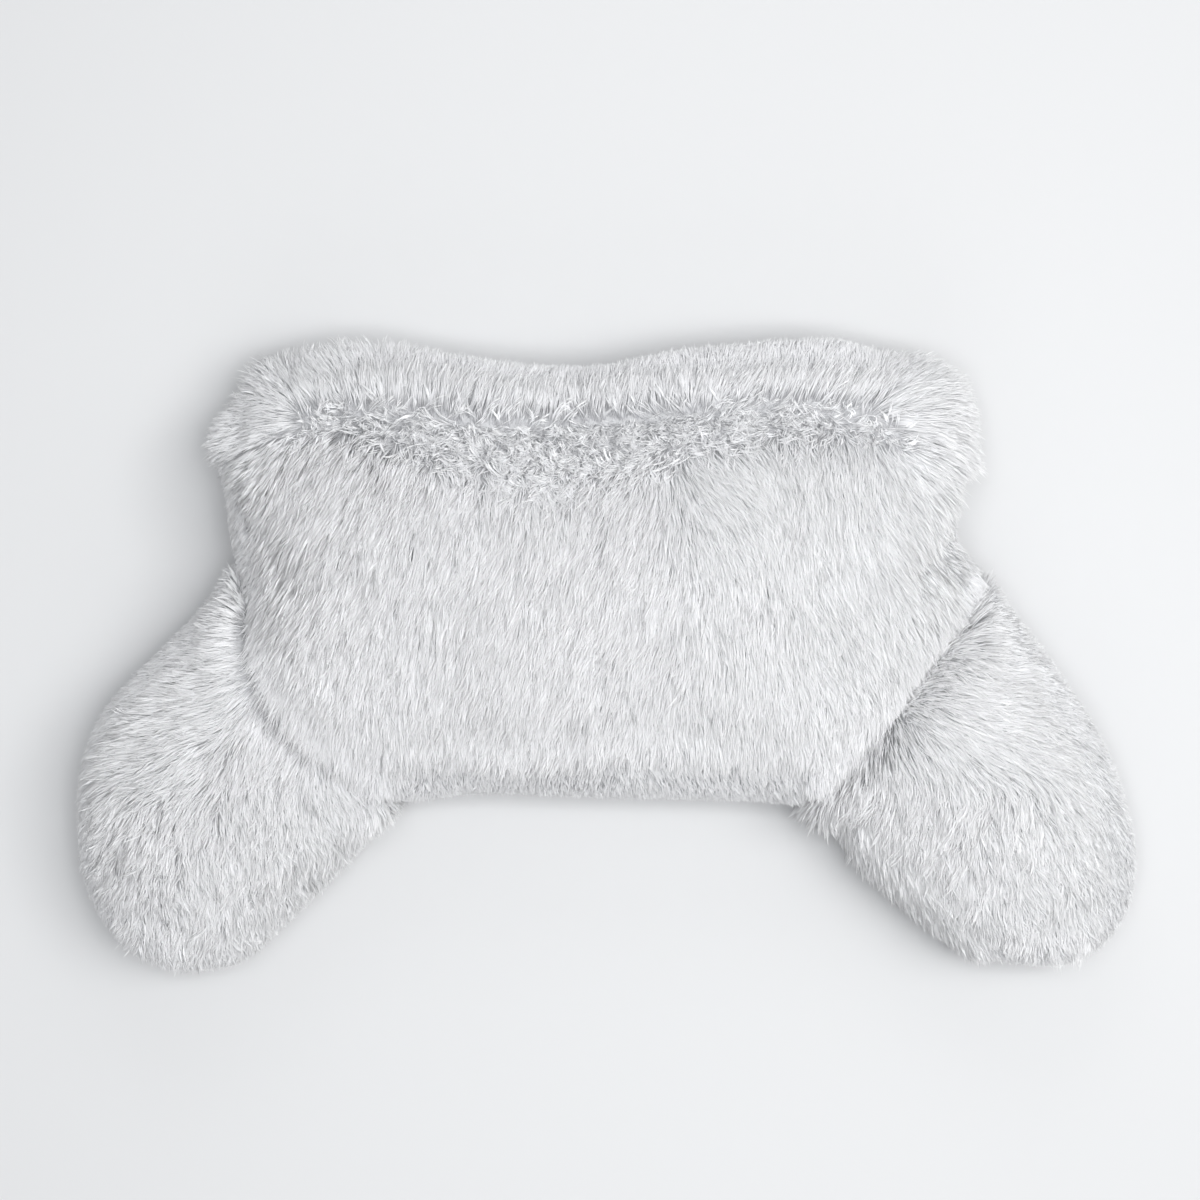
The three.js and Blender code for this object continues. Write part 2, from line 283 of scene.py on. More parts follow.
# The root colour is painted shade among the fibres; the middle and tip colours are the fibres' own near-white.
FUR = pile_material("pile_fibre", (0.46, 0.464, 0.484), (0.955, 0.959, 0.972), (0.975, 0.976, 0.982))
# Painted shade: the ground is coloured darker than the fibres for the shade between the locks.
GROUND = cloth_material("pile_ground", (0.70, 0.704, 0.72))

# ---- where each kind of pile is -----------------------------------------------

# The pile fans out from the middle of each puffed top corner.
EARS = [
    {"x": -0.243, "y": 0.194, "reach": 0.10},
    {"x": 0.206, "y": 0.194, "reach": 0.12},
]

# The seam between the top strip and the front panel.
TOP_SEAM = np.array(
    [
        [-0.262, 0.181], [-0.225, 0.197], [-0.150, 0.195], [-0.085, 0.186], [-0.045, 0.185],
        [-0.015, 0.190], [0.030, 0.194], [0.095, 0.198], [0.160, 0.202], [0.212, 0.193], [0.240, 0.176],
    ]
)

def to_path(path, p):
    """Distance from plan points to a path, and which side they are on: above zero
    towards +Y."""
    best = np.full(len(p), 1e9)
    side = np.zeros(len(p))
    for a, b in zip(path[:-1], path[1:]):
        d = b - a
        t = np.clip(((p - a) @ d) / (d @ d), 0, 1)
        off = p - (a + t[:, None] * d)
        far = np.linalg.norm(off, axis=1)
        turn = d[0] * off[:, 1] - d[1] * off[:, 0]
        closer = far < best
        best = np.where(closer, far, best)
        side = np.where(closer, np.sign(turn), side)
    return best, side




def ear_share(p):
    """1 on the puffed top corners, where the pile is longest."""
    left = smooth(0.228, 0.262, -p[:, 0])
    right = smooth(0.200, 0.240, p[:, 0])
    return np.maximum(left * smooth(0.158, 0.182, p[:, 1]), right * smooth(0.145, 0.170, p[:, 1]))


# How far below the top seam the pile stands up in curls, in metres, along X.
CURLS = np.array(
    [
        [-0.262, 0.009], [-0.215, 0.014], [-0.160, 0.026], [-0.120, 0.036], [-0.060, 0.044],
        [-0.015, 0.048], [0.030, 0.037], [0.090, 0.027], [0.160, 0.022], [0.205, 0.014], [0.240, 0.008],
    ]
)


def curl_share(p):
    """1 along the top seam, where the pile parts and stands up in curls."""
    far, side = to_path(TOP_SEAM, p[:, :2])
    reach = np.interp(p[:, 0], CURLS[:, 0], CURLS[:, 1])
    above = smooth(0.005, 0.001, far)
    below = smooth(1.3, 0.6, far / reach)
    ends = smooth(0.262, 0.235, np.abs(p[:, 0] + 0.008))
    return np.where(side > 0, above, below) * ends


def joined_share(p, part, which):
    """1 close to a seam where pile hides it: all along the right one, on the lower half
    of the left one."""
    side, along, _ = to_seam(p, which)
    near = smooth(0.040, 0.012, np.abs(side)) * smooth(1.02, 0.90, along)
    if which == "left":
        return near * smooth(0.10, 0.30, along)
    return near * smooth(-0.16, -0.04, along)


def sides_of(part):
    return list(SEAM) if part == "backrest" else [part.split("_")[1]]


def wall_share(p, n, part):
    """1 where the pile is the short one of the walls, 0 on the front."""
    up = n[:, 2]
    if part == "backrest":
        high = smooth(-0.02, -0.10, p[:, 1]) * 0.14
        wall = smooth(0.79, 0.70, up - high)
        far, side = to_path(TOP_SEAM, p[:, :2])
        strip = (side > 0) & (p[:, 1] > 0.12) | (p[:, 1] > 0.215)
        wall = np.where(strip, smooth(0.52, 0.36, up), wall)
        wall = wall * (1 - ear_share(p) * smooth(-0.1, 0.25, up))
        for which in SEAM:
            wall = wall * (1 - joined_share(p, part, which) * smooth(0.1, 0.4, up))
        # The upper half of the left seam lies in the open, with short pile beside it.
        side, along, _ = to_seam(p, "left")
        wall = np.maximum(wall, 0.3 * smooth(0.034, 0.022, np.abs(side)) * smooth(0.52, 0.30, along) * smooth(-0.25, -0.10, along))
    else:
        which = part.split("_")[1]
        side, along, _ = to_seam(p, which)
        wall = smooth(0.89, 0.80, up)
        if which == "right":
            # On the outer side the long pile hangs lower.
            outer = smooth(-0.1, 0.4, n[:, 0]) * smooth(-0.235, -0.20, p[:, 1])
            wall = mix(wall, smooth(0.55, 0.40, up), outer)
        wall = wall * (1 - smooth(0.040, 0.022, np.abs(side)) * smooth(0.1, 0.4, up) * smooth(1.02, 0.92, along))
        wall = np.maximum(wall, smooth(0.17, 0.07, along))
    return wall


# ---- the stuffed cloth forms --------------------------------------------------


def pile_depth(p, n, part):
    """How far the cloth lies under the solid's surface at each point."""
    up = n[:, 2]
    depth = PILE_FRONT + (PILE_WALL - PILE_FRONT) * wall_share(p, n, part)
    if part == "backrest":
        depth = depth + (PILE_EAR - depth) * ear_share(p) * smooth(0.97, 0.6, up)
        # The cloth runs nearly straight across the valley of the top seam.
        far, _ = to_path(TOP_SEAM, p[:, :2])
        depth = depth - 0.0095 * np.exp(-((far / 0.015) ** 2)) * smooth(0.4, 0.8, up) * smooth(0.29, 0.25, np.abs(p[:, 0]))
    depth = depth + (PILE_PRESSED - depth) * smooth(-0.35, -0.8, up)
    for which in sides_of(part):
        side, along, _ = to_seam(p, which)
        gap = np.abs(side)
        near = smooth(0.030, 0.006, gap) * smooth(0.55, 0.2, up)
        depth = depth + (0.001 - depth) * near
        crest = smooth(0.045, 0.012, gap) * smooth(-0.1, 0.1, along) * smooth(1.02, 0.90, along) * smooth(0.2, 0.55, up)
        depth = depth + ((0.005 if part == "backrest" else 0.006) - depth) * crest
    return depth


def stuffed_form(part):
    """The cloth of one cushion: the solid drawn in by the pile, then blown up."""
    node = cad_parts[part]
    mesh = node.data.copy()
    obj = bpy.data.objects.new(part + "_form", mesh)
    scene.collection.objects.link(obj)
    remesh = obj.modifiers.new("remesh", "REMESH")
    remesh.mode, remesh.voxel_size = "VOXEL", VOXEL
    bpy.context.view_layer.update()
    fine = baked(obj)
    obj.modifiers.clear()
    obj.data = fine
    co, no, _ = arrays(fine)
    e = edges(fine)
    no = unit(relax(no, e, 6))
    depth = relax(pile_depth(co, no, part), e, 8)
    swell = np.full(len(co), 0.002)
    for which in sides_of(part):
        swell = swell * smooth(0.015, 0.05, np.abs(to_seam(co, which)[0]))
    co = co - no * (depth + swell)[:, None]
    co = relax(co, e, 6)
    co[:, 2] = np.maximum(co[:, 2], FLOOR_CLEAR)
    put(fine, co)
    blow_up(obj, part)
    moved, _, _ = arrays(obj.data)
    co = moved
    co[:, 2] = np.maximum(co[:, 2], FLOOR_CLEAR)
    hold = -1.0 if part == "backrest" else 1.0
    for which in sides_of(part):
        side, _, square = to_seam(co, which)
        over = np.maximum(0.0012 - side * hold, 0) * (np.abs(side) < 0.03)
        co[:, :2] += square * (hold * over)[:, None]
    put(obj.data, co)
    for poly in obj.data.polygons:
        poly.use_smooth = True
    obj.data.materials.clear()
    obj.data.materials.append(GROUND)
    obj.name = obj.data.name = part + "_cloth"
    return obj


def blow_up(obj, part):
    """Stuffing: the cloth swells outwards under pressure, no further than the cap, and
    less beside the seams, which hold it."""
    start, n, _ = arrays(obj.data)
    cloth = obj.modifiers.new("stuffing", "CLOTH")
    s = cloth.settings
    s.quality = 4
    s.mass = 0.3
    s.tension_stiffness = s.compression_stiffness = 15
    s.shear_stiffness = 5
    s.bending_stiffness = 0.5
    s.use_pressure = True
    s.uniform_pressure_force = 4.0
    s.effector_weights.gravity = 0.0
    cloth.collision_settings.use_collision = False
    cloth.collision_settings.use_self_collision = False
    cloth.point_cache.frame_start, cloth.point_cache.frame_end = 1, 20
    for f in range(1, 21):
        scene.frame_set(f)
    done = baked(obj)
    end, _, _ = arrays(done)
    obj.modifiers.clear()
    scene.frame_set(1)
    swell = np.clip(((end - start) * n).sum(1), 0, SWELL_CAP)
    for which in sides_of(part):
        swell = swell * smooth(0.015, 0.05, np.abs(to_seam(start, which)[0]))
    swell = relax(swell, edges(obj.data), 4)
    put(obj.data, start + n * swell[:, None])


forms = {part: stuffed_form(part) for part in ("backrest", "arm_left", "arm_right")}

# ---- how the pile lies --------------------------------------------------------

# Lean of the pile on the front panel, in degrees from straight down (-Y), above zero
# to the left, at three heights: just under the top seam, halfway and near the foot.
FRONT_LIE = [
    {"x": -0.300, "high": 42, "half": 29, "low": 12},
    {"x": -0.235, "high": 30, "half": 22, "low": 4},
    {"x": -0.165, "high": 14, "half": 15, "low": 2},
    {"x": -0.100, "high": 10, "half": 12, "low": 6},
    {"x": -0.035, "high": 14, "half": 20, "low": 9},
    {"x": 0.030, "high": 20, "half": 15, "low": 4},
    {"x": 0.067, "high": -34, "half": 6, "low": -5},
    {"x": 0.101, "high": -40, "half": 2, "low": -8},
    {"x": 0.140, "high": -6, "half": -14, "low": -8},
    {"x": 0.200, "high": -8, "half": -26, "low": 2},
    {"x": 0.235, "high": -30, "half": -29, "low": 4},
    {"x": 0.300, "high": -48, "half": -36, "low": -20},
]
HIGH_Y, HALF_Y, LOW_Y = 0.145, 0.045, -0.080

# Lean of the pile on the top strip, in degrees from straight up (+Y), above zero to
# the left, near the seam and at the top edge.
STRIP_LIE = [
    {"x": -0.310, "seam": 76, "edge": 52},
    {"x": -0.269, "seam": 50, "edge": 43},
    {"x": -0.235, "seam": 26, "edge": 33},
    {"x": -0.202, "seam": 20, "edge": 18},
    {"x": -0.168, "seam": 0, "edge": 2},
    {"x": -0.100, "seam": -16, "edge": -9},
    {"x": -0.035, "seam": -14, "edge": -11},
    {"x": 0.034, "seam": -4, "edge": -12},
    {"x": 0.067, "seam": -6, "edge": 2},
    {"x": 0.100, "seam": -24, "edge": -10},
    {"x": 0.168, "seam": -18, "edge": -12},
    {"x": 0.202, "seam": -38, "edge": -20},
    {"x": 0.235, "seam": -57, "edge": -27},
    {"x": 0.290, "seam": -84, "edge": -50},
]

# Lean of the pile on the arms, in degrees from straight down, above zero to the left.
ARM_LIE = {
    "left": [
        (-0.320, 0.040, 88), (-0.362, 0.000, 84), (-0.400, -0.028, 74), (-0.336, -0.028, 92),
        (-0.437, -0.060, 50), (-0.403, -0.060, 84), (-0.360, -0.060, 88), (-0.320, -0.055, 72),
        (-0.278, -0.052, 30), (-0.437, -0.085, 42), (-0.403, -0.085, 76), (-0.365, -0.085, 82),
        (-0.336, -0.085, 52), (-0.300, -0.080, 16), (-0.437, -0.130, 32), (-0.403, -0.130, 44),
        (-0.370, -0.128, 22), (-0.336, -0.128, 4), (-0.300, -0.128, -8), (-0.260, -0.128, -15),
        (-0.215, -0.128, -20), (-0.420, -0.180, 34), (-0.370, -0.180, 10), (-0.320, -0.180, -6),
        (-0.270, -0.180, -10), (-0.400, -0.220, 20), (-0.350, -0.225, 4), (-0.300, -0.220, -8),
    ],
    "right": [
        (0.310, 0.030, -96), (0.345, 0.020, -94), (0.278, -0.010, -50), (0.310, -0.005, -74),
        (0.345, -0.005, -90), (0.385, -0.010, -92), (0.278, -0.030, -72), (0.320, -0.030, -84),
        (0.370, -0.030, -88), (0.278, -0.052, -56), (0.310, -0.055, -80), (0.370, -0.055, -86),
        (0.420, -0.060, -78), (0.262, -0.078, -28), (0.310, -0.078, -60), (0.345, -0.078, -82),
        (0.390, -0.082, -64), (0.430, -0.085, -76), (0.215, -0.110, 8), (0.260, -0.105, 8),
        (0.305, -0.105, 4), (0.340, -0.105, -10), (0.378, -0.105, -48), (0.420, -0.110, -66),
        (0.235, -0.135, 14), (0.275, -0.135, 16), (0.310, -0.135, -8), (0.350, -0.135, -16),
        (0.400, -0.135, -30), (0.205, -0.155, -36), (0.250, -0.165, 2), (0.300, -0.165, -6),
        (0.350, -0.165, -20), (0.400, -0.165, -28), (0.440, -0.165, -34), (0.240, -0.190, -40),
        (0.300, -0.200, 4), (0.350, -0.200, -4), (0.400, -0.200, -24), (0.280, -0.225, -42),
        (0.320, -0.230, -4), (0.370, -0.230, -8), (0.410, -0.230, -26),
    ],
}


def column(rows, key):
    return np.array([r[key] for r in rows], float)


def way_down(lean):
    """Plan direction of a lean from straight down, above zero to the left."""
    a = np.radians(lean)
    return np.stack([-np.sin(a), -np.cos(a)], -1)


def way_up(lean):
    a = np.radians(lean)
    return np.stack([-np.sin(a), np.cos(a)], -1)


def lie_backrest(p):
    """Plan direction of the pile on the backrest."""
    x, y = p[:, 0], p[:, 1]
    xs = column(FRONT_LIE, "x")
    high = way_down(np.interp(x, xs, column(FRONT_LIE, "high")))
    half = way_down(np.interp(x, xs, column(FRONT_LIE, "half")))
    low = way_down(np.interp(x, xs, column(FRONT_LIE, "low")))
    a = smooth(HALF_Y, HIGH_Y, y)[:, None]
    b = smooth(HALF_Y, LOW_Y, y)[:, None]
    front = unit(half * (1 - a) * (1 - b) + high * a + low * b)
    xs = column(STRIP_LIE, "x")
    near = way_up(np.interp(x, xs, column(STRIP_LIE, "seam")))
    edge = way_up(np.interp(x, xs, column(STRIP_LIE, "edge")))
    c = smooth(0.205, 0.245, y)[:, None]
    strip = unit(near * (1 - c) + edge * c)
    far, side = to_path(TOP_SEAM, p[:, :2])
    over = smooth(-0.004, 0.002, far * side)[:, None]
    way = unit(front * (1 - over) + strip * over)
    for ear in EARS:
        out = np.array([math.copysign(1, ear["x"]), 0.0])
        off = p[:, :2] - [ear["x"], ear["y"]]
        dist = np.linalg.norm(off, axis=1)
        outer = smooth(-0.2, 0.35, (off @ out) / np.maximum(dist, 1e-6))
        share = outer * smooth(ear["reach"] * 1.25, ear["reach"] * 0.7, dist)
        share = share * smooth(-0.075, -0.045, off[:, 1])
        droop = np.array([out[0] * 0.3, -0.12]) * smooth(0.03, 0.09, dist)[:, None]
        fan = unit(unit(off) + droop)
        way = unit(way * (1 - share)[:, None] + fan * share[:, None])
    return way


def lie_arm(p, which):
    """Plan direction of the pile on an arm."""
    table = np.array(ARM_LIE[which])
    d2 = ((p[:, None, :2] - table[None, :, :2]) ** 2).sum(2) + 1e-6
    w = 1 / d2**1.6
    ways = way_down(table[:, 2])
    return unit((w[:, :, None] * ways[None]).sum(1))


def wave(p, seed, scale):
    """Smooth noise from a few sine waves, about -1 to 1."""
    r = np.random.default_rng(seed)
    total = np.zeros(len(p))
    for _ in range(7):
        k = r.normal(size=3) / scale
        total += np.sin(p @ k + r.uniform(0, 6.28))
    return total / 2.6


# ---- growing the pile ---------------------------------------------------------


def scatter(form, density, seed):
    """Points spread evenly over a form: place, normal. density is per square metre at
    each vertex."""
    co, no, tri = arrays(form.data)
    r = np.random.default_rng(seed)
    a, b, c = co[tri[:, 0]], co[tri[:, 1]], co[tri[:, 2]]
    area = np.linalg.norm(np.cross(b - a, c - a), axis=1) / 2
    want = area * density[tri].mean(1)
    total = np.cumsum(want)
    n = int(total[-1])
    marks = (np.arange(n) + r.uniform(0, 1, n)) * (total[-1] / n)
    face = np.searchsorted(total, marks).clip(0, len(tri) - 1)
    u, v = r.uniform(0, 1, (2, n))
    flip = u + v > 1
    u, v = np.where(flip, 1 - u, u), np.where(flip, 1 - v, v)
    w = 1 - u - v
    t = tri[face]
    place = co[t[:, 0]] * w[:, None] + co[t[:, 1]] * u[:, None] + co[t[:, 2]] * v[:, None]
    normal = unit(no[t[:, 0]] * w[:, None] + no[t[:, 1]] * u[:, None] + no[t[:, 2]] * v[:, None])
    return place, normal


SUB = 12  # steps that work out a strand's line
# A strand is a narrow band of four triangles. Its vertices stand by turns on the left
# and the right edge, at these shares of its length, and it ends in a point. A short
# strand of the walls leaves two of them out and has two triangles.
LEVEL = np.array([0.0, 0.0, 0.36, 0.56, 0.80, 1.0])
EDGE = np.array([-1.0, 1.0, -1.0, 1.0, -1.0, 0.0])
BROAD = np.array([0.8, 0.8, 1.0, 1.0, 0.8, 0.0])
FACES = np.array([[0, 1, 2], [2, 1, 3], [2, 3, 4], [4, 3, 5]])
SHORT_HAS = np.array([True, True, False, True, False, True])
SHORT_FACES = np.array([[0, 1, 3], [0, 3, 5]])


def pile_make(part, p, n, r, seed):
    """How the pile is at each root: its length, how it rises and falls (degrees), how
    its heading turns, how it droops, and how it gathers in tufts."""
    m = len(p)
    y = p[:, 1]
    zero = np.zeros(m)
    wall = wall_share(p, n, part)
    long = np.full(m, 0.036)
    rise = np.full(m, 42.0)
    coarse, fine, loose = np.full(m, 6.0), np.full(m, 2.0), np.full(m, 4.0)
    bend = np.full(m, 0.18)
    tuft = np.full(m, 0.16)
    ear = curls = lift = zero
    if part == "backrest":
        long = long - 0.009 * smooth(-0.02, -0.10, y)
        far, side = to_path(TOP_SEAM, p[:, :2])
        over = np.where(y > 0.215, 1.0, smooth(-0.003, 0.003, far * side) * (y > 0.12))
        # The strip has a row of raised locks along the seam and flatter pile behind it.
        back = smooth(0.010, 0.024, far) * smooth(-0.20, -0.13, p[:, 0])
        long = mix(long, 0.036 - 0.017 * back, over)
        rise = mix(rise, 38 - 10 * back, over)
        fine = mix(fine, 3, over)
        tuft = mix(tuft, 0.26 - 0.12 * back, over)
        ear = ear_share(p)
        lift = np.maximum(0.95 * over, 0.85 * ear)
        left = 0.035 + 0.009 * smooth(0.212, 0.232, y) - 0.010 * smooth(0.222, 0.195, y)
        long = mix(long, np.where(p[:, 0] < 0, left, 0.042), ear)
        edge = smooth(0.9, 0.6, n[:, 2])
        long = long - 0.014 * smooth(-0.095, -0.115, y) * edge
        waist = edge * smooth(0.20, 0.26, p[:, 0]) * smooth(0.150, 0.125, y)
        long = mix(long, 0.018, waist)
        rise = mix(rise, 32 + 24 * smooth(0.65, 0.2, n[:, 2]), ear)
        coarse, fine, loose = mix(coarse, 3, ear), mix(fine, 1, ear), mix(loose, 3, ear)
        tuft = mix(tuft, 0.2, ear)
        curls = curl_share(p) * (1 - wall)
        long = mix(long, 0.018, curls)
        rise = mix(rise, 58, curls)
        fine, loose = mix(fine, 46, curls), mix(loose, 30, curls)
        bend = mix(bend, 1.2, curls)
        tuft = mix(tuft, 0.3, curls)
        # Beside the arms it lies flatter, and at both ends of each seam it is shorter.
        for which in SEAM:
            side, along, _ = to_seam(p, which)
            beside = smooth(0.045, 0.015, np.abs(side)) * smooth(-0.05, 0.1, along) * smooth(1.05, 0.95, along)
            long = long - (0.0 if which == "left" else 0.006) * beside
            rise = rise - 12 * beside
            lift = np.maximum(lift, 0.45 * beside)
            foot = smooth(0.045, 0.020, np.abs(side)) * smooth(0.80, 0.92, along)
            long = mix(long, 0.022, foot)
            head = smooth(0.05, 0.025, np.abs(side)) * smooth(0.16, 0.02, along)
            long = mix(long, 0.020 if which == "left" else 0.014, head * (1 - ear))
    else:
        tousled = smooth(-0.06, -0.12, y)
        long = long - 0.003
        side, along, _ = to_seam(p, sides_of(part)[0])
        # Beside the seam the pile stands up and fills the crease.
        beside = smooth(0.036, 0.010, np.abs(side))
        rise = rise + 24 * beside
        lift = 0.7 * beside
        if part == "arm_right":
            outer = smooth(0.0, 0.5, n[:, 0]) * smooth(0.95, 0.75, n[:, 2])
            long = mix(long, 0.018, outer)
            rise = mix(rise, 18, outer)
        head = smooth(0.20, 0.05, along)
        long = mix(long, 0.016, head)
        coarse, fine, loose = mix(coarse, 9, tousled), mix(fine, 8, tousled), mix(loose, 5, tousled)
        tuft = mix(0.14, 0.28, tousled)
        bend = mix(bend, 0.3, tousled)
    inner = zero if part == "backrest" else smooth(0.2, 0.6, n[:, 0] * (-1 if part == "arm_right" else 1))
    long = mix(long, 0.013 + (0.006 if part == "arm_left" else 0.017) * inner, wall)
    rise = mix(rise, 29 + 12 * inner, wall)
    coarse, fine, loose = mix(coarse, 8, wall), mix(fine, 4, wall), mix(loose, 8, wall)
    tuft = mix(tuft, 0.05, wall)
    # Over the joint with an arm the pile lies level, as over a bridge.
    bridge = zero
    for which in sides_of(part):
        if part == "arm_right":
            continue
        share = joined_share(p, part, which) * smooth(-0.1, 0.3, n[:, 2]) * smooth(0.055, 0.095, p[:, 2])
        bridge = np.maximum(bridge, share)
    rise = rise * (1 - 0.25 * bridge)
    fall = mix(1.0 + r.normal(0, 4, m), 25 + r.normal(0, 24, m), curls)
    fall = mix(fall, 13 + r.normal(0, 4, m), np.maximum(wall, 0.8 * ear))
    return {
        "wall": wall,
        "curls": curls,
        "bridge": bridge,
        "long": long * (1 + 0.07 * wave(p, seed + 3, 0.03) + r.normal(0, 0.06, m)),
        "rise": np.radians(rise + 4 * wave(p, seed + 4, 0.025) + r.normal(0, 4, m)),
        "fall": np.radians(fall),
        "turn": np.radians(coarse * wave(p, seed + 2, 0.02) + fine * wave(p, seed + 5, 0.008) + loose * r.normal(0, 1, m)),
        "bend": bend * r.normal(0, 1, m),
        "droop": 0.1 * wall + 0.35 * smooth(0.97, 0.80, n[:, 2]) * (1 - wall) * (1 - bridge) * (1 - curls) * (1 - 0.6 * ear),
        "tuft": tuft,
        "lift": np.maximum(0.6 * smooth(0.8, 0.3, n[:, 2]), np.maximum(0.55 * wall, lift) + 0.25 * curls),
    }


def grow(name, part, keep, density, seed, strands=5, width=0.0005, gather=(0.0, 0.6), lock=0.0036):
    """One joined mesh of strands, in locks that draw together towards their tips, and
    locks that draw together in tufts."""
    form = forms[part]
    co, no, _ = arrays(form.data)
    dens = np.where(keep(co, no), 1.0, 0.0) * density(co, no)
    root, n = scatter(form, dens, seed)
    ok = keep(root, n)
    root, n = root[ok], n[ok]
    r = np.random.default_rng(seed + 1)
    m = len(root)
    make = pile_make(part, root, n, r, seed)
    wall, long = make["wall"], make["long"]
    way = lie_backrest(root) if part == "backrest" else lie_arm(root, sides_of(part)[0])
    up = np.array([0.0, 0.0, 1.0])
    # Below the widest line the pile hangs, and doesn't follow the cloth inwards.
    out = unit(np.stack([n[:, 0], n[:, 1], np.maximum(n[:, 2], 0.0)], 1) + 1e-6)
    nn = unit(mix(out, up, make["bridge"][:, None]))
    cs, sn = np.cos(make["turn"]), np.sin(make["turn"])
    way = np.stack([way[:, 0] * cs - way[:, 1] * sn, way[:, 0] * sn + way[:, 1] * cs], 1)
    comb = np.concatenate([way, np.zeros((m, 1))], 1)
    comb[:, 2] -= 0.9 * smooth(0.75, 0.15, nn[:, 2])
    f = unit(comb - nn * (comb * nn).sum(1, keepdims=True) + 1e-6)
    s = np.cross(nn, f)

    line = np.zeros((SUB + 1, m, 3))
    for k in range(SUB):
        t = (k + 0.5) / SUB
        phi = mix(make["rise"], make["fall"], t**0.75)
        psi = make["bend"] * t
        ahead = f * np.cos(psi)[:, None] + s * np.sin(psi)[:, None]
        step = ahead * np.cos(phi)[:, None] + nn * np.sin(phi)[:, None]
        step[:, 2] -= make["droop"] * t
        line[k + 1] = line[k] + unit(step) * (long / SUB)[:, None]
    at = np.unique(LEVEL)
    guide = np.stack([line[int(round(t * SUB))] for t in at])
    # Each lock leans towards the middle of its tuft, by no more than a few millimetres.
    tips = root + guide[-1]
    heads = r.choice(m, max(8, int(m * 0.09)), replace=False)
    tree = KDTree(len(heads))
    for i, h in enumerate(heads):
        tree.insert(tips[h], i)
    tree.balance()
    nearest = heads[np.array([tree.find(t)[1] for t in tips])]
    pull = (tips[nearest] - tips) * make["tuft"][:, None]
    pull = pull * np.minimum(1, 0.006 / np.maximum(np.linalg.norm(pull, axis=1), 1e-9))[:, None]
    guide = guide + pull[None] * (at**1.6)[:, None, None]

    # Strands of each lock.
    each = np.repeat(np.arange(m), strands)
    q = len(each)
    rad = np.sqrt(r.uniform(0, 1, q)) * lock * (1 - 0.35 * wall[each]) * (1 - 0.45 * make["curls"][each])
    ang = r.uniform(0, 2 * np.pi, q)
    off = f[each] * (rad * 1.5 * np.cos(ang))[:, None] + s[each] * (rad * np.sin(ang))[:, None]
    size = r.uniform(0.75, 1.06, q)
    draw = np.minimum(0.95, r.uniform(*gather, q) + 0.2 * make["curls"][each])
    frizz = r.normal(0, 1, (q, 3)) * 0.0009
    pts = np.stack(
        [
            root[each] + g[each] * size[:, None] + off * (1 - draw * t**1.3)[:, None] + frizz * t**1.5
            for t, g in zip(at, guide)
        ]
    )
    pts[:, :, 2] = np.maximum(pts[:, :, 2], 0.0006)

    roll = r.normal(0, 0.6, q)
    half = width * r.uniform(0.7, 1.25, q) / 2 * (1 + 0.35 * wall[each])
    verts = np.zeros((q, len(LEVEL), 3))
    normals = np.zeros((q, len(LEVEL), 3))
    row = {t: i for i, t in enumerate(at)}
    # Light passes through the pale fibres of a steep side, so they shade as if they
    # faced up a little. Every face turns its front to the sky.
    plain = 0.30 - 0.15 * smooth(-0.05, -0.30, root[each][:, 0]) - 0.08 * make["curls"][each]
    aim = plain[:, None] * nn[each] + make["lift"][each][:, None] * up
    sky = up + 0.12 * out[each] * [1, 1, 0]
    for v, (t, edge, broad) in enumerate(zip(LEVEL, EDGE, BROAD)):
        i = row[t]
        tan = unit(pts[min(i + 1, len(at) - 1)] - pts[max(i - 1, 0)])
        flat = unit(np.cross(tan, nn[each]))
        rise_ = np.cross(flat, tan)
        across = flat * np.cos(roll)[:, None] + rise_ * np.sin(roll)[:, None]
        face = rise_ * np.cos(roll)[:, None] - flat * np.sin(roll)[:, None]
        face = face * np.where((face * sky).sum(1) < 0, -1, 1)[:, None]
        verts[:, v] = pts[i] + across * (half * edge * broad)[:, None]
        normals[:, v] = unit(face * (1 - plain)[:, None] + aim)
    short = wall[each] > 0.5
    has = np.where(short[:, None], SHORT_HAS, True)
    number = np.cumsum(has.ravel()).reshape(has.shape) - 1
    faces = np.concatenate(
        [number[~short][:, FACES].reshape(-1, 3), number[short][:, SHORT_FACES].reshape(-1, 3)]
    )
    owner = np.repeat(np.arange(q), len(LEVEL)).reshape(q, -1)[has]
    verts, normals = verts[has], normals[has]
    a, b, c = (verts[faces[:, k]] for k in range(3))
    turned = (np.cross(b - a, c - a) * sky[owner[faces[:, 0]]]).sum(1) < 0
    faces[turned] = faces[turned][:, ::-1]
    mesh = bpy.data.meshes.new(name)
    mesh.vertices.add(len(verts))
    mesh.vertices.foreach_set("co", verts.astype(np.float32).ravel())
    mesh.loops.add(faces.size)
    mesh.loops.foreach_set("vertex_index", faces.astype(np.int32).ravel())
    mesh.polygons.add(len(faces))
    mesh.polygons.foreach_set("loop_start", (np.arange(len(faces)) * 3).astype(np.int32))
    mesh.polygons.foreach_set("use_smooth", np.ones(len(faces), bool))
    mesh.update(calc_edges=True)
    # Each strand's tone differs at random; in the curls it is painted darker and more uneven, as shade among the
    # standing locks.
    vary = 1 + 0.5 * make["curls"][each]
    tone = 0.62 - 0.02 * make["curls"][each] + vary * (0.18 * r.normal(0, 1, q) + 0.14 * r.normal(0, 1, m)[each])
    tone = np.clip(tone, 0, 1)
    # In the curls the painted shade of the roots reaches further up the strands.
    along = (np.tile(LEVEL, (q, 1)) ** (1 + 0.55 * make["curls"][each][:, None]))[has]
    edge = np.tile(EDGE, (q, 1))[has]
    tint = np.repeat(tone[:, None], len(LEVEL), 1)[has]
    mesh.attributes.new("along", "FLOAT", "POINT").data.foreach_set("value", along.astype(np.float32))
    mesh.attributes.new("tint", "FLOAT", "POINT").data.foreach_set("value", tint.astype(np.float32))
